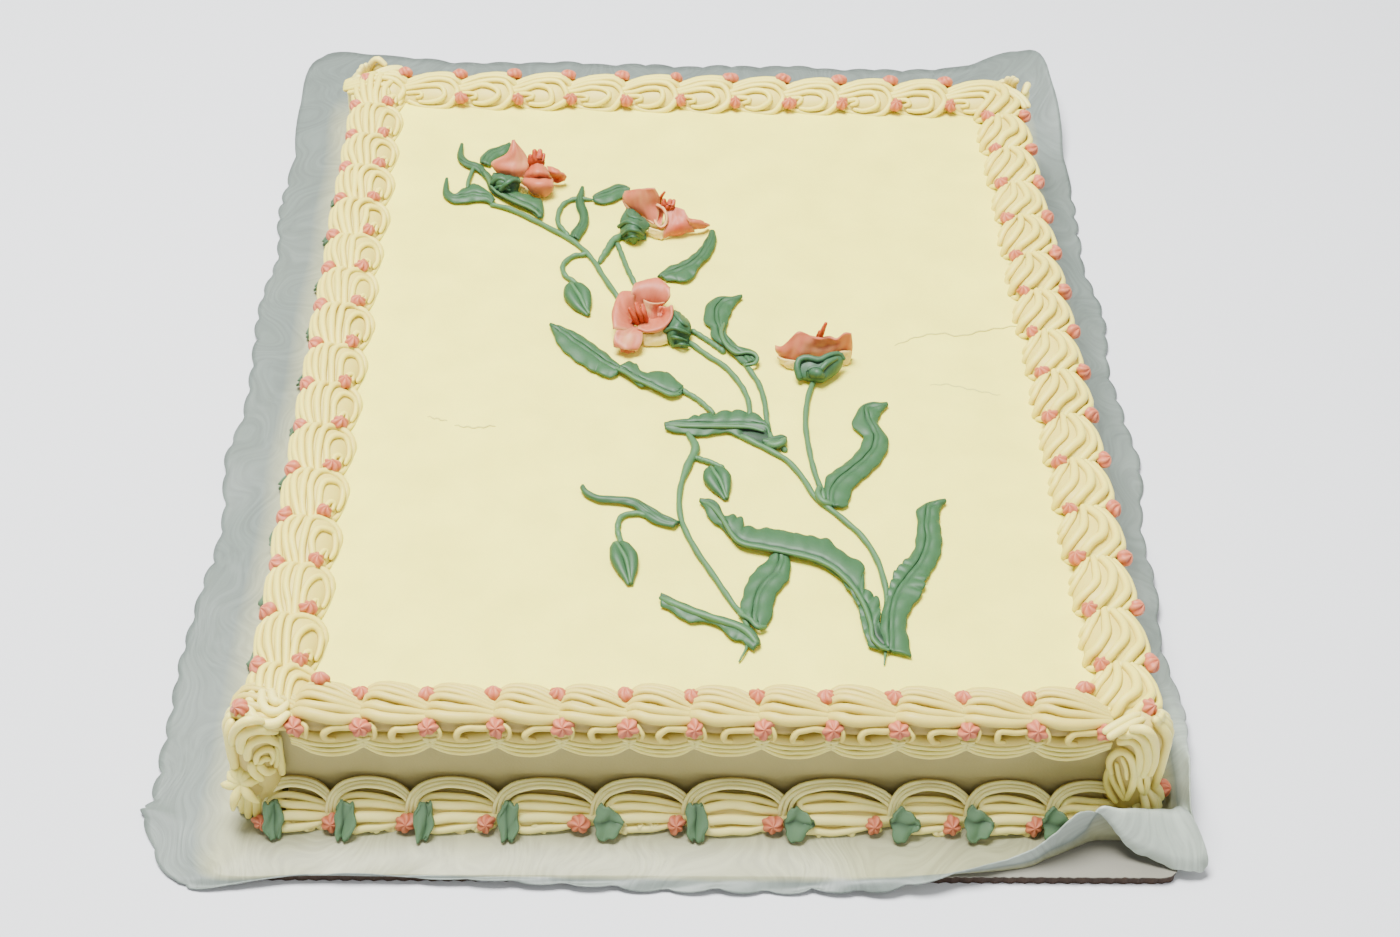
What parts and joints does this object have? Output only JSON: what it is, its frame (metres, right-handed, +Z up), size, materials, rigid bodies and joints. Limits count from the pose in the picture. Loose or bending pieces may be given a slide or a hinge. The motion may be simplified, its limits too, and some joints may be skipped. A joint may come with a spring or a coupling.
{
  "type": "flower cake",
  "caption": "Rectangular sheet cake with cream icing, piped shell borders and a spray of piped pink flowers, on a board with a sheet of paper under it.",
  "frame": {"origin": "centre of the board's underside", "axes": "+X to the right of the picture, +Y along the cake's length, away from the viewer, +Z up"},
  "size_m": [0.401, 0.5481, 0.0746],
  "materials": {
    "board": "matte",
    "paper": "satin",
    "cake_icing": "matte",
    "piped_icing": "satin",
    "pink_icing": "matte",
    "green_icing": "matte"
  },
  "bodies": {
    "root": {"cake_board": "board", "paper_liner": "paper", "cake_body": "cake_icing", "top_border_front": "piped_icing", "bottom_border_front": "piped_icing", "top_border_right": "piped_icing", "bottom_border_right": "piped_icing", "top_border_back": "piped_icing", "bottom_border_back": "piped_icing", "top_border_left": "piped_icing", "bottom_border_left": "piped_icing", "corner_front_left": "piped_icing", "corner_front_right": "piped_icing", "corner_back_right": "piped_icing", "corner_back_left": "piped_icing", "flower_1": "pink_icing", "flower_2": "pink_icing", "flower_3": "pink_icing", "flower_4": "pink_icing", "calyx_1": "green_icing", "calyx_2": "green_icing", "calyx_3": "green_icing", "calyx_4": "green_icing", "stem_flower_1": "green_icing", "stem_flower_2": "green_icing", "stem_branch_2": "green_icing", "stem_bud_1": "green_icing", "stem_loop_leaf": "green_icing", "stem_flower_3_upper": "green_icing", "stem_flower_3_main": "green_icing", "stem_flower_3_lower": "green_icing", "stem_leaf_left": "green_icing", "stem_main": "green_icing", "stem_flower_4": "green_icing", "stem_left_plant": "green_icing", "stem_bud_2": "green_icing", "stem_bud_3": "green_icing", "leaf_tip_upper": "green_icing", "leaf_tip_lower": "green_icing", "leaf_behind_1": "green_icing", "leaf_under_1": "green_icing", "leaf_loop": "green_icing", "leaf_at_flower_2": "green_icing", "leaf_middle": "green_icing", "leaf_curled": "green_icing", "leaf_left_tip": "green_icing", "leaf_left_base": "green_icing", "leaf_knot": "green_icing", "leaf_knot_curl": "green_icing", "leaf_right_upper": "green_icing", "leaf_right_lower": "green_icing", "leaf_long": "green_icing", "leaf_low_right": "green_icing", "leaf_low_left": "green_icing", "leaf_side_left": "green_icing", "bud_1": "green_icing", "bud_2": "green_icing", "bud_3": "green_icing"}
  },
  "joints": []
}
